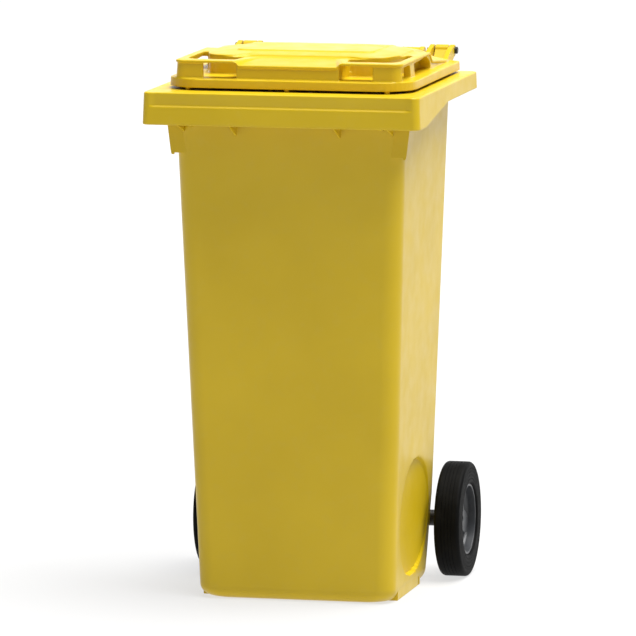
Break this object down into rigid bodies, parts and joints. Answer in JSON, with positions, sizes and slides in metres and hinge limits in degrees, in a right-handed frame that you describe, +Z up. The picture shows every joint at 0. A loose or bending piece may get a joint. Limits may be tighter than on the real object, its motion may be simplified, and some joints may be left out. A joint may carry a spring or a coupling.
{
  "type": "wheelie bin",
  "caption": "Wheeled waste bin with a tapered body, flared rim, rear-hinged lid, push handles and push-fit rubber-tyred wheels on a steel axle.",
  "frame": {"origin": "on the ground, at the middle of the whole bin's width and depth", "axes": "+Z up, the rim's front edge faces -Y, the wheels and handles are at +Y, +X is to the right seen from the front"},
  "size_m": [0.48, 0.543, 0.9383],
  "materials": {
    "yellow_plastic": "satin moulded polyethylene",
    "black_plastic": "satin",
    "tyre_rubber": "matte solid rubber",
    "hub_plastic": "satin",
    "zinc_steel": "zinc plated"
  },
  "bodies": {
    "bin": {"body": "yellow_plastic", "hinge_pin_left": "black_plastic", "hinge_pin_right": "black_plastic", "axle": "zinc_steel", "axle_spacer_left": "black_plastic", "axle_spacer_right": "black_plastic"},
    "lid": {"lid": "yellow_plastic", "lid_buffer_left": "yellow_plastic", "lid_buffer_centre": "yellow_plastic", "lid_buffer_right": "yellow_plastic"},
    "wheel_right": {"tyre_right": "tyre_rubber", "wheel_hub_right": "hub_plastic", "lock_plug_right": "black_plastic", "lock_spring_right": "zinc_steel"},
    "wheel_left": {"tyre_left": "tyre_rubber", "wheel_hub_left": "hub_plastic", "lock_plug_left": "black_plastic", "lock_spring_left": "zinc_steel"},
    "lock_right": {"lock_pin_right": "zinc_steel"},
    "lock_left": {"lock_pin_left": "zinc_steel"}
  },
  "joints": [
    {"name": "lid_hinge", "type": "hinge", "parent": "bin", "child": "lid", "pos_m": [0, 0.2405, 0.912], "axis": [-1, 0, 0], "range_deg": [0, 270]},
    {"name": "wheel_right_spin", "type": "hinge", "parent": "bin", "child": "wheel_right", "pos_m": [0.2145, 0.1715, 0.1], "axis": [1, 0, 0], "continuous": true},
    {"name": "wheel_left_spin", "type": "hinge", "parent": "bin", "child": "wheel_left", "pos_m": [-0.2145, 0.1715, 0.1], "axis": [1, 0, 0], "continuous": true},
    {"name": "lock_right_slide", "type": "slide", "parent": "wheel_right", "child": "lock_right", "axis": [0, 0, 1], "range_m": [0, 0.004], "stiffness_N_per_m": 300, "springref_m": -0.004, "deforming": ["lock_spring_right"]},
    {"name": "lock_left_slide", "type": "slide", "parent": "wheel_left", "child": "lock_left", "axis": [0, 0, 1], "range_m": [0, 0.004], "stiffness_N_per_m": 300, "springref_m": -0.004, "deforming": ["lock_spring_left"]}
  ]
}
